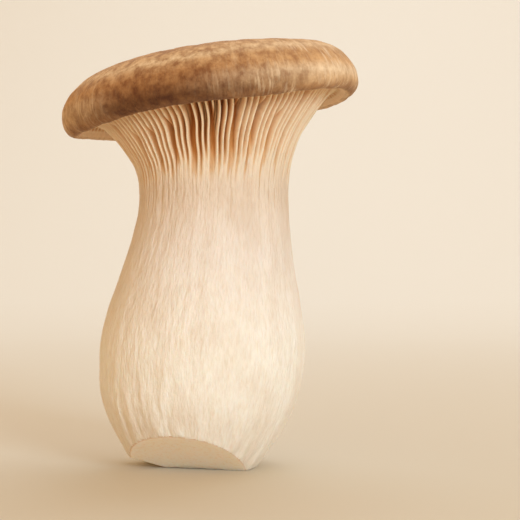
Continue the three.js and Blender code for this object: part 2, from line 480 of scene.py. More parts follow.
# %% [markdown]
# ## Coordinates that follow the fibres
#
# Mushroom flesh is made of threads that run up the stem and out through the cap. Patterns must
# run the same way, so each point carries a place on an imagined straight stem: round a circle
# of one radius, and up by the true distance along the surface. It has no seam.

# %% Measure the way along the surface
FIBRE_RADIUS, SAMPLES = 27.0, 400
ring_numbers = np.linspace(0, LAST_RING + 1, SAMPLES)
side = smooth_line(right_side, np.clip(ring_numbers, 0, LAST_RING))
steps = np.linalg.norm(np.diff(side, axis=0), axis=1)
distance = np.concatenate([[0], np.cumsum(steps)])
distance += np.clip(ring_numbers - LAST_RING, 0, 1) * CAP_RINGS[-1][2]
along = np.interp(values["ring"], ring_numbers, distance)
straight_stem = [
    np.cos(values["angle"]) * FIBRE_RADIUS,
    np.sin(values["angle"]) * FIBRE_RADIUS,
    along,
]
values["fibre"] = np.stack(straight_stem, 1) * MM
print("length along the surface, base to top, mm:", round(float(distance[-1]), 1))

# %% [markdown]
# ## The skin mesh
#
# The rows become a mesh in metres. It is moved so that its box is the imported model's box, and
# each number from above is stored as an attribute that nodes can read by name.

# %% Make the skin mesh
FIBRIL_ROOM = 0.19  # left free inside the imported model's box for the fibrils on the skin
low, high = values["point"].min(0), values["point"].max(0)
cad_middle = np.array((cad_low + cad_high) / 2) / MM
foot = cad_middle * (1, 1, 0)
shift = cad_middle - (low + high) / 2
shift[2] = np.array(cad_low)[2] / MM - low[2]
room = np.array(cad_high - cad_low) / MM - np.array([2, 2, 1]) * FIBRIL_ROOM
fit = np.minimum(1.0, room / (high - low))
points = (values["point"] + shift - foot) * fit + foot
skin_mesh = bpy.data.meshes.new("skin")
skin_mesh.from_pydata((points * MM).tolist(), [], faces.tolist())
skin_object = bpy.data.objects.new("skin", skin_mesh)
bpy.context.scene.collection.objects.link(skin_object)
print("shift, mm:", shift.round(2), "fit:", fit.round(5))

# %% Sort the faces into flesh, skin and cut
FLESH, SKIN, CUT = range(3)
SKIN_END = MARGIN - 0.35
face_ring = values["ring"][faces].mean(1)
face_shaved = values["shaved"][faces].mean(1)
zone = np.where(face_ring > SKIN_END, SKIN, FLESH)
zone[(face_shaved > 0) & (face_ring < FIRST_GILL)] = CUT
values["zone"] = zone
print("faces of flesh, skin and cut:", np.bincount(zone).tolist())

# %% Store the numbers on the mesh
ATTRIBUTES = {
    "inward": "FLOAT_VECTOR",
    "upward": "FLOAT_VECTOR",
    "fibre": "FLOAT_VECTOR",
    "sinking": "FLOAT",
    "blade": "FLOAT",
    "ring": "FLOAT",
    "shaved": "FLOAT",
    "zone": "INT",
}
for name, kind in ATTRIBUTES.items():
    attribute = skin_mesh.attributes.new(name, kind, "FACE" if name == "zone" else "POINT")
    field = "vector" if kind == "FLOAT_VECTOR" else "value"
    number_kind = np.int32 if kind == "INT" else np.float32
    attribute.data.foreach_set(field, values[name].astype(number_kind).ravel())
print("attributes:", ", ".join(ATTRIBUTES))

# %% [markdown]
# ## Nodes and colours
#
# One small function adds any node, sets its options and joins its inputs. Colours are written
# as the sRGB hex values that a colour picker shows, and one function turns them to linear.

# %% Helpers for nodes and colours
COLOUR_A, COLOUR_B, MIXED = 6, 7, 2  # where a Mix node takes and gives colours
WHOLE_A, WHOLE_B = 2, 3  # where a Compare node takes whole numbers
LEAST, MOST, DRAWN = 2, 3, 1  # where a Random Value node takes and gives plain numbers


def linear(hex_colour):
    """An sRGB hex colour as linear numbers, with full opacity."""
    channels = [int(hex_colour[i : i + 2], 16) / 255 for i in (1, 3, 5)]
    bright = [c / 12.92 if c <= 0.04045 else ((c + 0.055) / 1.055) ** 2.4 for c in channels]
    return bright + [1.0]


def add(tree, kind, inputs=None, ramp=None, **options):
    """Adds a node. Inputs are numbers, colours or other nodes' outputs, by name or place."""
    made = tree.nodes.new(kind)
    for name, value in options.items():
        setattr(made, name, value)
    for name, value in (inputs or {}).items():
        socket = made.inputs[name]
        if isinstance(value, bpy.types.NodeSocket):
            tree.links.new(value, socket)
        else:
            socket.default_value = value
    if ramp:
        elements = made.color_ramp.elements
        while len(elements) < len(ramp):
            elements.new(1.0)
        for element, (place, colour) in zip(elements, ramp):
            element.position = place
            element.color = linear(colour)
    return made


print("ivory #F3E6D0 in linear numbers:", [round(c, 3) for c in linear("#F3E6D0")])

# %% [markdown]
# ## The stem and gills: hyphal flesh
#
# The real material is a felt of fine threads, ivory and slightly waxy. Light enters it and
# comes out again a millimetre away, which softens its shadows and warms the thin gills.
# Lengthwise wrinkles and stray thread ends catch the light. The gaps between gills are painted
# browner the deeper they sink: partly their own tan, and partly painted shade with the warm tint
# of light bounced many times in there. The blades' edges are painted paler than their sides, a
# painted highlight where light catches them. A real thread is a hundredth of a millimetre thick.
# That is too fine to show, so threads are drawn in bundles of half a millimetre.


# %% Helpers for materials
def fibre_pattern(tree, wide_mm, long_mm, detail, roughness=0.5):
    """A cloudy pattern whose clouds are wide_mm across the fibres and long_mm along them."""
    place = add(tree, "ShaderNodeAttribute", attribute_name="fibre").outputs["Vector"]
    scale = (1 / (wide_mm * MM), 1 / (wide_mm * MM), 1 / (long_mm * MM))
    stretched = add(tree, "ShaderNodeVectorMath", {0: place, 1: scale}, operation="MULTIPLY")
    return add(
        tree,
        "ShaderNodeTexNoise",
        {
            "Vector": stretched.outputs[0],
            "Scale": 1.0,
            "Detail": detail,
            "Roughness": roughness,
        },
    ).outputs["Fac"]


def new_material(name):
    material = bpy.data.materials.new(name)
    material.use_nodes = True
    tree = material.node_tree
    tree.nodes.clear()
    return material, tree


WATERY_IOR = 1.4  # flesh and skin are mostly water, which has 1.33
FLESH_RADIUS = (1.0, 0.7, 0.5)  # how far red, green and blue travel under the surface, as shares
flesh, tree = new_material("hyphal_flesh")
print("material:", flesh.name)

# %% Flesh colour along the mushroom
ring_number = add(tree, "ShaderNodeAttribute", attribute_name="ring").outputs["Fac"]
ring_share = add(
    tree, "ShaderNodeMapRange", {"Value": ring_number, "From Max": float(LAST_RING)}
).outputs[0]
by_height = add(
    tree,
    "ShaderNodeValToRGB",
    {"Fac": ring_share},
    ramp=[
        (0.0, "#F4E9D9"),
        (0.10, "#F8F0E3"),
        (0.20, "#FCF7EC"),
        (0.31, "#F4EADF"),
        (0.38, "#EDDCC9"),
        (0.50, "#F4DFC4"),
        (0.62, "#F2D6B2"),
    ],
).outputs["Color"]
patches = fibre_pattern(tree, wide_mm=7.0, long_mm=15.0, detail=4.0, roughness=0.6)
patch_tone = add(
    tree,
    "ShaderNodeValToRGB",
    {"Fac": patches},
    ramp=[(0.32, "#ECE1D5"), (0.52, "#FAF7F3"), (0.7, "#FFFFFF")],
).outputs["Color"]
patched = add(
    tree,
    "ShaderNodeMix",
    {"Factor": 0.5, COLOUR_A: by_height, COLOUR_B: patch_tone},
    data_type="RGBA",
    blend_type="MULTIPLY",
).outputs[MIXED]
print("nodes for the flesh's colour by height:", len(tree.nodes))

# %% Flesh threads, painted shade in the gaps and painted highlight on blade edges
threads = fibre_pattern(tree, wide_mm=0.55, long_mm=3.2, detail=4.0, roughness=0.6)
thread_tone = add(
    tree,
    "ShaderNodeValToRGB",
    {"Fac": threads},
    ramp=[(0.34, "#EDE2D6"), (0.5, "#FAF7F3"), (0.66, "#FFFFFF")],
).outputs["Color"]
threaded = add(
    tree,
    "ShaderNodeMix",
    {"Factor": 0.5, COLOUR_A: patched, COLOUR_B: thread_tone},
    data_type="RGBA",
    blend_type="MULTIPLY",
).outputs[MIXED]
# painted shade: the deeper a gap or furrow sinks, the browner it is painted, partly its own tan
gap_depth = add(tree, "ShaderNodeAttribute", attribute_name="sinking").outputs["Fac"]
gap_tone_and_shade = add(
    tree,
    "ShaderNodeValToRGB",
    {"Fac": gap_depth},
    ramp=[(0.0, "#FFFFFF"), (0.05, "#F4E0C6"), (0.35, "#DDAE74"), (1.0, "#B3763A")],
).outputs["Color"]
shaded_gaps = add(
    tree,
    "ShaderNodeMix",
    {"Factor": 1.0, COLOUR_A: threaded, COLOUR_B: gap_tone_and_shade},
    data_type="RGBA",
    blend_type="MULTIPLY",
).outputs[MIXED]
# painted highlight: blade edges and little blades are mixed towards a pale cream
edge_highlight = add(tree, "ShaderNodeAttribute", attribute_name="blade").outputs["Fac"]
edge_highlight = add(tree, "ShaderNodeMath", {0: edge_highlight, 1: 0.4}, operation="MULTIPLY").outputs[0]
flesh_colour = add(
    tree,
    "ShaderNodeMix",
    {"Factor": edge_highlight, COLOUR_A: shaded_gaps, COLOUR_B: linear("#F7E3C4")},
    data_type="RGBA",
).outputs[MIXED]
print("nodes for the flesh's colour:", len(tree.nodes))

# %% Flesh wrinkles and shader
wrinkles = fibre_pattern(tree, wide_mm=0.9, long_mm=3.6, detail=5.0, roughness=0.62)
stray_ends = fibre_pattern(tree, wide_mm=0.5, long_mm=1.3, detail=3.0, roughness=0.6)
felted = add(
    tree, "ShaderNodeMath", {0: stray_ends, 1: 0.4, 2: wrinkles}, operation="MULTIPLY_ADD"
).outputs[0]
relief = add(
    tree,
    "ShaderNodeBump",
    {"Height": felted, "Strength": 1.0, "Distance": 0.45 * MM},
).outputs["Normal"]
shader = add(
    tree,
    "ShaderNodeBsdfPrincipled",
    {
        "Base Color": flesh_colour,
        "Roughness": 0.62,
        "IOR": WATERY_IOR,
        "Normal": relief,
        "Subsurface Weight": 0.25,
        "Subsurface Radius": FLESH_RADIUS,
        "Subsurface Scale": 1.0 * MM,
    },
).outputs["BSDF"]
add(tree, "ShaderNodeOutputMaterial", {"Surface": shader})
print("flesh nodes:", len(tree.nodes))

# %% [markdown]
# ## The cap: a velvety brown cuticle
#
# The cap's skin is a thin layer of pressed brown threads that run from the middle to the
# margin. It is matt like suede: rough, with a faint sheen at grazing angles. The brown is
# mottled. It is darkest at the left of the front and paler to the right: partly the skin's own
# colour, partly painted shade on the left and painted light on the right. The shoulder and a
# band at mid height on the pale side are painted paler, partly paler skin and partly a painted
# highlight. Two ramps give the colour from the margin to the middle, one for the dark, shaded
# side and one for the pale, lit side, and a third number says where between them each place is.

# %% How pale the cap is, partly painted light and shade
cuticle, tree = new_material("velvety_cuticle")
place = add(tree, "ShaderNodeTexCoord").outputs["Object"]
clouds = add(
    tree,
    "ShaderNodeTexNoise",
    {"Vector": place, "Scale": 1 / (13 * MM), "Detail": 3.0},
).outputs["Fac"]
cloud_shift = add(
    tree, "ShaderNodeMath", {0: clouds, 1: 0.5, 2: 0.25}, operation="MULTIPLY_ADD"
).outputs[0]
# darkest place at the front left, partly the skin's colour and partly painted shade
DARKEST_SHADED_PLACE = (-12 * MM, -40 * MM, 106 * MM)
away = add(
    tree, "ShaderNodeVectorMath", {0: place, 1: DARKEST_SHADED_PLACE}, operation="DISTANCE"
).outputs["Value"]
across_cap = add(
    tree,
    "ShaderNodeMapRange",
    {"Value": away, "From Min": 12 * MM, "From Max": 46 * MM, "To Min": -0.5, "To Max": 0.4},
).outputs[0]
paleness_and_light = add(
    tree, "ShaderNodeMath", {0: across_cap, 1: cloud_shift}, operation="ADD"
).outputs[0]
print("nodes for how pale the cap grew:", len(tree.nodes))

# %% Cap colour from the margin to the middle
ring_number = add(tree, "ShaderNodeAttribute", attribute_name="ring").outputs["Fac"]
ring_share = add(
    tree,
    "ShaderNodeMapRange",
    {"Value": ring_number, "From Min": float(SKIN_END), "From Max": float(LAST_RING + 1)},
).outputs[0]
# the dark side: the skin's dark brown, partly painted shade, and a pale shoulder band, partly a
# painted highlight
shaded_dark_side = add(
    tree,
    "ShaderNodeValToRGB",
    {"Fac": ring_share},
    ramp=[
        (0.0, "#DDB88C"),
        (0.03, "#A87C50"),
        (0.07, "#8A5E37"),
        (0.18, "#714722"),
        (0.28, "#98683C"),
        (0.39, "#BC8B5A"),
        (0.46, "#CFA677"),
        (0.52, "#ECD0A8"),
        (0.58, "#E0BC8D"),
        (0.65, "#CB9D69"),
        (1.0, "#BE8E5A"),
    ],
).outputs["Color"]
# the pale side: paler skin, partly painted light, with painted highlight bands at mid height and on
# the shoulder
lit_pale_side = add(
    tree,
    "ShaderNodeValToRGB",
    {"Fac": ring_share},
    ramp=[
        (0.0, "#F0D4B0"),
        (0.035, "#DDB88E"),
        (0.06, "#A97A4D"),
        (0.12, "#C49566"),
        (0.20, "#EBC597"),
        (0.29, "#FBE0BB"),
        (0.38, "#DDB07C"),
        (0.46, "#CFA06B"),
        (0.53, "#E8C9A0"),
        (0.60, "#DBB486"),
        (1.0, "#C99B66"),
    ],
).outputs["Color"]
# brown from the mix of the two sides carries their painted shade and painted highlights
brown = add(
    tree,
    "ShaderNodeMix",
    {"Factor": paleness_and_light, COLOUR_A: shaded_dark_side, COLOUR_B: lit_pale_side},
    data_type="RGBA",
).outputs[MIXED]
print("nodes for the cap's brown:", len(tree.nodes))

# %% Cap mottling
mottle = add(
    tree,
    "ShaderNodeTexNoise",
    {"Vector": place, "Scale": 1 / (2.8 * MM), "Detail": 5.0, "Roughness": 0.62},
).outputs["Fac"]
mottle_tone = add(
    tree,
    "ShaderNodeValToRGB",
    {"Fac": mottle},
    ramp=[(0.35, "#A8835C"), (0.48, "#D3C3B0"), (0.62, "#F8F4EE")],
).outputs["Color"]
mottle_share = add(
    tree,
    "ShaderNodeMapRange",
    {"Value": paleness_and_light, "To Min": 0.9, "To Max": 0.5},
).outputs[0]
mottled = add(
    tree,
    "ShaderNodeMix",
    {"Factor": mottle_share, COLOUR_A: brown, COLOUR_B: mottle_tone},
    data_type="RGBA",
    blend_type="MULTIPLY",
).outputs[MIXED]
print("nodes up to the cap's mottling:", len(tree.nodes))

# %% Pale threads, in bundles, where the cap is pale and lit
threads = fibre_pattern(tree, wide_mm=0.5, long_mm=4.5, detail=3.0, roughness=0.55)
thread_share = add(
    tree,
    "ShaderNodeMapRange",
    {"Value": threads, "From Min": 0.47, "From Max": 0.64, "To Max": 0.85},
).outputs[0]
bundles = fibre_pattern(tree, wide_mm=3.0, long_mm=8.0, detail=2.0)
in_bundles = add(
    tree, "ShaderNodeMapRange", {"Value": bundles, "From Min": 0.42, "From Max": 0.62}
).outputs[0]
in_bundles = add(
    tree, "ShaderNodeMath", {0: in_bundles, 1: paleness_and_light}, operation="MULTIPLY", use_clamp=True
).outputs[0]
thread_share = add(
    tree, "ShaderNodeMath", {0: thread_share, 1: in_bundles}, operation="MULTIPLY"
).outputs[0]
threaded = add(
    tree,
    "ShaderNodeMix",
    {"Factor": thread_share, COLOUR_A: mottled, COLOUR_B: linear("#EBCFAA")},
    data_type="RGBA",
).outputs[MIXED]
tone = add(tree, "ShaderNodeAttribute", attribute_name="tone").outputs["Fac"]
tone = add(tree, "ShaderNodeMath", {0: tone, 1: in_bundles}, operation="MULTIPLY").outputs[0]
cap_colour = add(
    tree,
    "ShaderNodeMix",
    {"Factor": tone, COLOUR_A: threaded, COLOUR_B: linear("#E6C69F")},
    data_type="RGBA",
).outputs[MIXED]
print("nodes for the cap's colour:", len(tree.nodes))

# %% Cap relief and shader
felt = add(
    tree, "ShaderNodeMath", {0: threads, 1: 0.6, 2: mottle}, operation="MULTIPLY_ADD"
).outputs[0]
relief = add(
    tree,
    "ShaderNodeBump",
    {"Height": felt, "Strength": 0.8, "Distance": 0.35 * MM},
).outputs["Normal"]
shader = add(
    tree,
    "ShaderNodeBsdfPrincipled",
    {
        "Base Color": cap_colour,
        "Roughness": 0.78,
        "IOR": WATERY_IOR,
        "Normal": relief,
        "Sheen Weight": 0.12,
        "Sheen Roughness": 0.5,
        "Sheen Tint": linear("#EEDCC4"),
    },
).outputs["BSDF"]
add(tree, "ShaderNodeOutputMaterial", {"Surface": shader})
print("cap nodes:", len(tree.nodes))

# %% [markdown]
# ## The cut face
#
# Where the knife went, the threads are seen end on: a smooth, slightly damp ivory with tiny
# specks. There is no skin to stop the light, so more of it enters, and it travels further. The
# cut edge of the skin has dried to a thin orange-brown line.

# %% Cut face material
cut_flesh, tree = new_material("cut_flesh")
beyond = add(tree, "ShaderNodeAttribute", attribute_name="shaved").outputs["Fac"]
place = add(tree, "ShaderNodeTexCoord").outputs["Object"]
rim_line = add(
    tree,
    "ShaderNodeMapRange",
    {"Value": beyond, "From Min": 0.0, "From Max": 0.35, "To Min": 0.75, "To Max": 0.0},
).outputs[0]
specks = add(
    tree,
    "ShaderNodeTexNoise",
    {"Vector": place, "Scale": 1 / (0.9 * MM), "Detail": 5.0, "Roughness": 0.7},
).outputs["Fac"]
face_tone = add(
    tree,
    "ShaderNodeValToRGB",
    {"Fac": specks},
    ramp=[(0.3, "#F5DABA"), (0.45, "#FFECD6"), (0.7, "#FFF3E4")],
).outputs["Color"]
cut_colour = add(
    tree,
    "ShaderNodeMix",
    {"Factor": rim_line, COLOUR_A: face_tone, COLOUR_B: linear("#CC9C6C")},
    data_type="RGBA",
).outputs[MIXED]
relief = add(
    tree,
    "ShaderNodeBump",
    {"Height": specks, "Strength": 0.4, "Distance": 0.15 * MM},
).outputs["Normal"]
shader = add(
    tree,
    "ShaderNodeBsdfPrincipled",
    {
        "Base Color": cut_colour,
        "Roughness": 0.55,
        "IOR": WATERY_IOR,
        "Normal": relief,
        "Subsurface Weight": 0.5,
        "Subsurface Radius": FLESH_RADIUS,
        "Subsurface Scale": 4.0 * MM,
    },
).outputs["BSDF"]
add(tree, "ShaderNodeOutputMaterial", {"Surface": shader})
print("cut face nodes:", len(tree.nodes))

# %% [markdown]
# ## Raise the gills with Geometry Nodes
#
# The skin mesh is smooth: its gills are only numbers so far. This tree sinks each point into the
# flesh by its own share of the gap depth. It adds folds and finer wrinkles, both lengthwise,
# because dried and pressed flesh has both. Folds grow towards the cut, where the skin was
# pinched, and wrinkles come in patches.

# %% Helpers for geometry trees
GEOMETRY, NUMBER, WHOLE = "NodeSocketGeometry", "NodeSocketFloat", "NodeSocketInt"
FINISH = "NodeSocketMaterial"


def new_geometry_tree(name, inputs, reads, output):
    """A geometry tree. Gives the tree, its sockets and its readers of attributes, by name."""
    tree = bpy.data.node_groups.new(name, "GeometryNodeTree")
    sockets = {"Skin": tree.interface.new_socket("Skin", in_out="INPUT", socket_type=GEOMETRY)}
    for title, (kind, value) in inputs.items():
        sockets[title] = tree.interface.new_socket(title, in_out="INPUT", socket_type=kind)
        sockets[title].default_value = value
    tree.interface.new_socket(output, in_out="OUTPUT", socket_type=GEOMETRY)
    readers = {}
    for title in reads:
        kind = ATTRIBUTES[title]
        reader = add(tree, "GeometryNodeInputNamedAttribute", {"Name": title}, data_type=kind)
        readers[title] = reader.outputs["Attribute"]
    return tree, sockets, readers


def run_tree(source, tree, sockets, inputs, name):
    """Runs a tree on an object and keeps the result as a plain mesh on a new object."""
    modifier = source.modifiers.new(name, "NODES")
    modifier.node_group = tree
    for title, (_, value) in inputs.items():
        modifier[sockets[title].identifier] = value
    ready = source.evaluated_get(bpy.context.evaluated_depsgraph_get())
    mesh = bpy.data.meshes.new_from_object(ready)
    mesh.name = name
    source.modifiers.remove(modifier)
    made = bpy.data.objects.new(name, mesh)
    bpy.context.scene.collection.objects.link(made)
    return made


# %% Inputs of the tree
gill_inputs = {
    "Gap depth": (NUMBER, 4.4 * MM),
    "Fold height": (NUMBER, 0.9 * MM),
    "Fold width": (NUMBER, 3.0 * MM),
    "Fold length": (NUMBER, 20.0 * MM),
    "Wrinkle height": (NUMBER, 0.45 * MM),
    "Wrinkle width": (NUMBER, 1.5 * MM),
    "Wrinkle length": (NUMBER, 5.0 * MM),
    "Seed": (WHOLE, 3),
}
gill_reads = ("sinking", "shaved", "fibre", "inward", "zone")
gills_tree, gill_sockets, read = new_geometry_tree(
    "raise_gills", gill_inputs, gill_reads, "Mushroom"
)
given = add(gills_tree, "NodeGroupInput").outputs
print("tree inputs:", list(gill_inputs))

# %% Sink the gaps, and say where folds and wrinkles grow
sink = add(
    gills_tree, "ShaderNodeMath", {0: read["sinking"], 1: given["Gap depth"]}, operation="MULTIPLY"
).outputs[0]
place = add(gills_tree, "GeometryNodeInputPosition").outputs[0]
patches = add(
    gills_tree,
    "ShaderNodeTexNoise",
    {"Vector": place, "W": given["Seed"], "Scale": 1 / (14 * MM), "Detail": 1.0},
    noise_dimensions="4D",
).outputs[0]
in_patches = add(
    gills_tree,
    "ShaderNodeMapRange",
    {"Value": patches, "From Min": 0.4, "From Max": 0.6, "To Min": 0.3},
).outputs[0]
near_cut = add(
    gills_tree,
    "ShaderNodeMapRange",
    {
        "Value": read["shaved"],
        "From Min": -14.0,
        "From Max": -1.0,
        "To Min": 1.0,
        "To Max": 2.4,
    },
).outputs[0]
print("nodes before the folds:", len(gills_tree.nodes))

# %% Add the folds and the wrinkles
total = sink
for size, growth in (("Fold", near_cut), ("Wrinkle", in_patches)):
    across, lengthwise = (
        add(
            gills_tree, "ShaderNodeMath", {0: 1.0, 1: given[size + way]}, operation="DIVIDE"
        ).outputs[0]
        for way in (" width", " length")
    )
    scales = add(
        gills_tree, "ShaderNodeCombineXYZ", {0: across, 1: across, 2: lengthwise}
    ).outputs[0]
    stretched = add(
        gills_tree, "ShaderNodeVectorMath", {0: read["fibre"], 1: scales}, operation="MULTIPLY"
    ).outputs[0]
    waves = add(
        gills_tree,
        "ShaderNodeTexNoise",
        {"Vector": stretched, "W": given["Seed"], "Scale": 1.0, "Detail": 2.0},
        noise_dimensions="4D",
    ).outputs[0]
    centred = add(
        gills_tree, "ShaderNodeMath", {0: waves, 1: 0.5}, operation="SUBTRACT"
    ).outputs[0]
    height = add(
        gills_tree,
        "ShaderNodeMath",
        {0: centred, 1: given[size + " height"]},
        operation="MULTIPLY",
    ).outputs[0]
    total = add(
        gills_tree, "ShaderNodeMath", {0: height, 1: growth, 2: total}, operation="MULTIPLY_ADD"
    ).outputs[0]
print("nodes with the folds:", len(gills_tree.nodes))

# %% Fade the relief at the cut and finish the tree
off_the_cut = add(
    gills_tree,
    "ShaderNodeMapRange",
    {"Value": read["shaved"], "From Min": 0.0, "From Max": -0.6},
).outputs[0]
depth = add(
    gills_tree, "ShaderNodeMath", {0: total, 1: off_the_cut}, operation="MULTIPLY"
).outputs[0]
move = add(
    gills_tree, "ShaderNodeVectorMath", {0: read["inward"], "Scale": depth}, operation="SCALE"
).outputs[0]
shaped = add(
    gills_tree, "GeometryNodeSetPosition", {"Geometry": given["Skin"], "Offset": move}
).outputs[0]
shaped = add(gills_tree, "GeometryNodeSetShadeSmooth", {"Geometry": shaped}).outputs[0]
shaped = add(gills_tree, "GeometryNodeRealizeInstances", {"Geometry": shaped}).outputs[0]
for number, material in ((FLESH, flesh), (SKIN, cuticle), (CUT, cut_flesh)):
    here = add(
        gills_tree,
        "FunctionNodeCompare",
        {WHOLE_A: read["zone"], WHOLE_B: number},
        data_type="INT",
        operation="EQUAL",
    ).outputs[0]
    shaped = add(
        gills_tree,
        "GeometryNodeSetMaterial",
        {"Geometry": shaped, "Selection": here, "Material": material},
    ).outputs[0]
add(gills_tree, "NodeGroupOutput", {0: shaped})
print("nodes in all:", len(gills_tree.nodes))

# %% Run the tree and keep the result as a plain mesh
mushroom = run_tree(skin_object, gills_tree, gill_sockets, gill_inputs, "mushroom_flesh")
bpy.data.objects.remove(skin_object)
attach(mushroom, "root")
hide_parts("mushroom")
print("mushroom triangles:", len(mushroom.data.polygons))

# %% [markdown]
# ## Fibrils on the cap
#
# The outermost threads of a cap lie loose on its skin. They are paler than the brown under
# them, so they show as short hairs. Each is made as a little spindle, half sunk in the skin. It
# points along the fibres but for a small wander, and two cross products take away what would
# lift it out of the skin. A real one is much thinner, and would be too fine to show.

# %% Inputs of the fibril tree
SPINDLE_SIDES, SPINDLE_RINGS = 5, 3
SPINDLE_FACES = SPINDLE_SIDES * SPINDLE_RINGS
fibril_inputs = {
    "Per square metre": (NUMBER, 7.5e5),
    "Length": (NUMBER, 1.9 * MM),
    "Width": (NUMBER, 0.2 * MM),
    "Height": (NUMBER, 0.05 * MM),
    "Lowest ring": (NUMBER, MARGIN + 0.4),
    "Highest ring": (NUMBER, LAST_RING + 1.0),
    "Palest": (NUMBER, 0.35),
    "Seed": (WHOLE, 5),
    "Material": (FINISH, cuticle),
}
fibril_tree, fibril_sockets, read = new_geometry_tree(
    "scatter_fibrils", fibril_inputs, ("ring", "shaved", "upward"), "Fibrils"
)
given = add(fibril_tree, "NodeGroupInput").outputs
print("fibril tree inputs:", list(fibril_inputs))

# %% Scatter points over the cap's skin
OFF_THE_CUT = -0.8  # mm, how far inside the knife faces the fibrils end
above = add(
    fibril_tree, "FunctionNodeCompare", {0: read["ring"], 1: given["Lowest ring"]}
).outputs[0]
below = add(
    fibril_tree,
    "FunctionNodeCompare",
    {0: read["ring"], 1: given["Highest ring"]},
    operation="LESS_THAN",
).outputs[0]
uncut = add(
    fibril_tree,
    "FunctionNodeCompare",
    {0: read["shaved"], 1: OFF_THE_CUT},
    operation="LESS_THAN",
).outputs[0]
here = add(fibril_tree, "FunctionNodeBooleanMath", {0: above, 1: below}).outputs[0]
here = add(fibril_tree, "FunctionNodeBooleanMath", {0: here, 1: uncut}).outputs[0]
scattered = add(
    fibril_tree,
    "GeometryNodeDistributePointsOnFaces",
    {
        "Mesh": given["Skin"],
        "Selection": here,
        "Density": given["Per square metre"],
        "Seed": given["Seed"],
    },
).outputs
print("nodes that scatter:", len(fibril_tree.nodes))

# %% Turn each fibril along the fibres and flat in the skin
WANDER = 0.22
wander = add(
    fibril_tree,
    "FunctionNodeRandomValue",
    {0: (-WANDER, -WANDER, -WANDER), 1: (WANDER, WANDER, WANDER), "Seed": given["Seed"]},
    data_type="FLOAT_VECTOR",
).outputs[0]
straight = add(
    fibril_tree, "ShaderNodeVectorMath", {0: read["upward"]}, operation="NORMALIZE"
).outputs[0]
lengthwise = add(
    fibril_tree, "ShaderNodeVectorMath", {0: straight, 1: wander}, operation="ADD"
).outputs[0]
across = add(
    fibril_tree,
    "ShaderNodeVectorMath",
    {0: lengthwise, 1: scattered["Normal"]},
    operation="CROSS_PRODUCT",
).outputs[0]
lengthwise = add(
    fibril_tree,
    "ShaderNodeVectorMath",
    {0: scattered["Normal"], 1: across},
    operation="CROSS_PRODUCT",
).outputs[0]
turned = add(
    fibril_tree, "FunctionNodeAlignRotationToVector", {"Vector": lengthwise}, axis="Z"
).outputs[0]
turned = add(
    fibril_tree,
    "FunctionNodeAlignRotationToVector",
    {"Rotation": turned, "Vector": scattered["Normal"]},
    axis="Y",
    pivot_axis="Z",
).outputs[0]
print("nodes that scatter and turn:", len(fibril_tree.nodes))

# %% Size, shape and paleness of each fibril
luck = add(
    fibril_tree,
    "FunctionNodeRandomValue",
    {0: (0.5, 0.4, 0.5), 1: (1.2, 1.1, 1.3), "Seed": given["Seed"]},
    data_type="FLOAT_VECTOR",
).outputs[0]
full = add(
    fibril_tree,
    "ShaderNodeCombineXYZ",
    {0: given["Width"], 1: given["Height"], 2: given["Length"]},
).outputs[0]
size = add(
    fibril_tree, "ShaderNodeVectorMath", {0: full, 1: luck}, operation="MULTIPLY"
).outputs[0]
spindle = add(
    fibril_tree,
    "GeometryNodeMeshUVSphere",
    {"Segments": SPINDLE_SIDES, "Rings": SPINDLE_RINGS, "Radius": 0.5},
).outputs["Mesh"]
laid = add(
    fibril_tree,
    "GeometryNodeInstanceOnPoints",
    {"Points": scattered["Points"], "Instance": spindle, "Rotation": turned, "Scale": size},
).outputs[0]
paleness = add(
    fibril_tree,
    "FunctionNodeRandomValue",
    {LEAST: 0.0, MOST: given["Palest"], "Seed": given["Seed"]},
).outputs[DRAWN]
laid = add(
    fibril_tree,
    "GeometryNodeStoreNamedAttribute",
    {"Geometry": laid, "Name": "tone", "Value": paleness},
    domain="INSTANCE",
).outputs[0]
laid = add(fibril_tree, "GeometryNodeSetShadeSmooth", {"Geometry": laid}).outputs[0]
laid = add(fibril_tree, "GeometryNodeRealizeInstances", {"Geometry": laid}).outputs[0]
laid = add(
    fibril_tree, "GeometryNodeSetMaterial", {"Geometry": laid, "Material": given["Material"]}
).outputs[0]
add(fibril_tree, "NodeGroupOutput", {0: laid})
print("nodes in all:", len(fibril_tree.nodes))

# %% Fibrils of the cap
fibrils = run_tree(mushroom, fibril_tree, fibril_sockets, fibril_inputs, "cap_fibrils")
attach(fibrils, "root")
print("fibrils:", len(fibrils.data.polygons) // SPINDLE_FACES)

# %% [markdown]
# ## Floor and backdrop
#
# A photographer's sweep: one sheet of paper that lies flat under the mushroom and curves up
# behind it, so that no horizon shows. It is uncoated and quite matt. Its colour is painted darker
# towards the front, a painted shade where the floor lies in shadow, and paler towards the back.
# It is only a stage and isn't part of the object.

# %% The sheet
SWEEP_HALF_WIDTH, SWEEP_FRONT, SWEEP_BACK, SWEEP_RADIUS, SWEEP_TOP = 1.7, -1.2, 0.65, 1.1, 3.0
SWEEP_STEPS = 24  # along the curve; the sizes above are in metres
turn = np.linspace(0, math.pi / 2, SWEEP_STEPS)
profile = [(SWEEP_FRONT, 0.0)]
profile += [
    (SWEEP_BACK + SWEEP_RADIUS * math.sin(t), SWEEP_RADIUS * (1 - math.cos(t))) for t in turn
]
profile += [(SWEEP_BACK + SWEEP_RADIUS, SWEEP_TOP)]
sweep_points = [(x, y, z) for y, z in profile for x in (-SWEEP_HALF_WIDTH, SWEEP_HALF_WIDTH)]
sweep_faces = [(2 * i, 2 * i + 1, 2 * i + 3, 2 * i + 2) for i in range(len(profile) - 1)]
sweep_mesh = bpy.data.meshes.new("sweep")
sweep_mesh.from_pydata(sweep_points, [], sweep_faces)
sweep_mesh.polygons.foreach_set("use_smooth", [True] * len(sweep_faces))
sweep = bpy.data.objects.new("sweep", sweep_mesh)
bpy.context.scene.collection.objects.link(sweep)
sweep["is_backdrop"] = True
print("sweep faces:", len(sweep_faces))

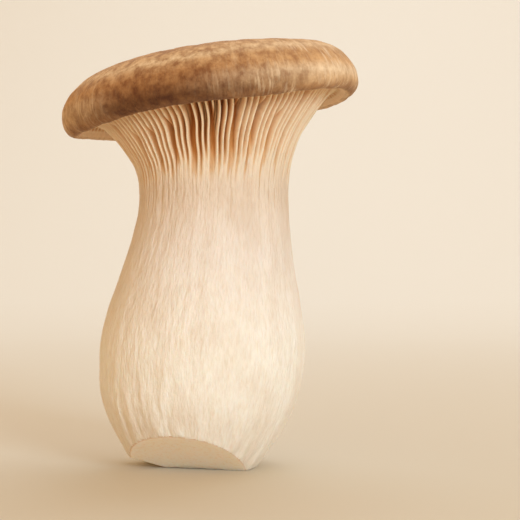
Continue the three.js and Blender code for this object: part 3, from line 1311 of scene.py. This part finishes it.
# %% The sheet's paper
GRAINS_PER_MM, GRAIN_SHARE = 0.9, 0.05
PAPER_SHADED_TO, PAPER_PALE_FROM = -0.1, 0.9  # metres behind the mushroom
paper, tree = new_material("pale_paper")
place = add(tree, "ShaderNodeTexCoord").outputs["Object"]
grain = add(
    tree, "ShaderNodeTexNoise", {"Vector": place, "Scale": GRAINS_PER_MM / MM, "Detail": 3.0}
).outputs["Fac"]
backward = add(tree, "ShaderNodeSeparateXYZ", {0: place}).outputs["Y"]
uneven = add(
    tree, "ShaderNodeMath", {0: grain, 1: GRAIN_SHARE, 2: backward}, operation="MULTIPLY_ADD"
).outputs[0]
# painted shade: the paper is painted darker towards the front, where the floor lies in shadow
shade_to_pale = add(
    tree,
    "ShaderNodeMapRange",
    {"Value": uneven, "From Min": PAPER_SHADED_TO, "From Max": PAPER_PALE_FROM},
).outputs[0]
paper_tone_and_shade = add(
    tree, "ShaderNodeValToRGB", {"Fac": shade_to_pale}, ramp=[(0.0, "#D8D0BD"), (1.0, "#EBECE6")]
).outputs["Color"]
shader = add(
    tree, "ShaderNodeBsdfPrincipled", {"Base Color": paper_tone_and_shade, "Roughness": 0.9}
).outputs["BSDF"]
add(tree, "ShaderNodeOutputMaterial", {"Surface": shader})
sweep_mesh.materials.append(paper)
print("paper nodes:", len(tree.nodes))

# %% [markdown]
# ## Light
#
# Three soft lights. The key stands to the right of the camera, and a grid narrows its beam, so
# the right of the stem is nearly white and the left falls into a warm half shade. A small fill
# near the floor at the left opens the cut face and the undersides. A large light above and
# behind lights the cap's shoulder and throws the soft shadow in front of the base. The surround
# is a warm cream, which colours the shades, and the camera sees it as a pale wall.


# %% Lamps
def lamp(name, place, aim, size, watts, colour, spread=180):
    """A square soft light in metres, aimed at a place. Spread is its beam in degrees."""
    light = bpy.data.lights.new(name, "AREA")
    light.size, light.energy, light.spread = size, watts, math.radians(spread)
    light.color = linear(colour)[:3]
    holder = bpy.data.objects.new(name, light)
    holder.location = place
    way = np.array(aim) - np.array(place)
    flat = math.hypot(way[0], way[1])
    holder.rotation_euler = (math.atan2(flat, -way[2]), 0, math.atan2(-way[0], way[1]))
    bpy.context.scene.collection.objects.link(holder)


STEM_MIDDLE, NEAR_BASE, BEHIND = (0, 0, 0.06), (0, 0, 0.03), (0.2, 0.8, 0.0)
lamp("key", (0.78, -1.3, 0.42), STEM_MIDDLE, size=0.5, watts=4.5, colour="#D0EBFF", spread=100)
lamp("low_fill", (-0.3, -0.8, 0.11), NEAR_BASE, size=0.2, watts=0.55, colour="#FFF0DC")
lamp("overhead", (0.25, 0.75, 1.6), BEHIND, size=1.3, watts=13.3, colour="#DAEBFC")

# %% Surround
world = bpy.data.worlds.new("surround")
world.use_nodes = True
tree = world.node_tree
tree.nodes.clear()
warm = add(
    tree, "ShaderNodeBackground", {"Color": linear("#FFD29A"), "Strength": 0.69}
).outputs[0]
pale = add(
    tree, "ShaderNodeBackground", {"Color": linear("#F3E8D8"), "Strength": 1.0}
).outputs[0]
seen = add(tree, "ShaderNodeLightPath").outputs["Is Camera Ray"]
surround = add(tree, "ShaderNodeMixShader", {0: seen, 1: warm, 2: pale}).outputs[0]
add(tree, "ShaderNodeOutputWorld", {"Surface": surround})
bpy.context.scene.world = world
bpy.context.scene.view_settings.view_transform = "Standard"
print("surround nodes:", len(tree.nodes))

# %% [markdown]
# ## Camera
#
# The photo was taken from the front, level, at half the mushroom's height: the cap's
# underside shows above, and the cut face shows below. A long lens keeps the sides upright.

# %% Camera
FOCAL_PX, IMAGE_PX, SENSOR = 1333.0, 520.0, 36.0
CAMERA_PLACE = (14.85, -400.0, 62.0)  # mm
camera = bpy.data.cameras.new("camera")
camera.sensor_width = SENSOR
camera.lens = SENSOR * FOCAL_PX / IMAGE_PX
camera.clip_start = 0.01
camera_object = bpy.data.objects.new("camera", camera)
camera_object.location = [v * MM for v in CAMERA_PLACE]
camera_object.rotation_euler = (math.radians(90), 0, 0)
bpy.context.scene.collection.objects.link(camera_object)
bpy.context.scene.camera = camera_object
print("lens, mm:", round(camera.lens, 1))

# %% Write the sizes and finish
low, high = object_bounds()
print("visual model, mm:", [round(v / MM, 2) for v in high - low])
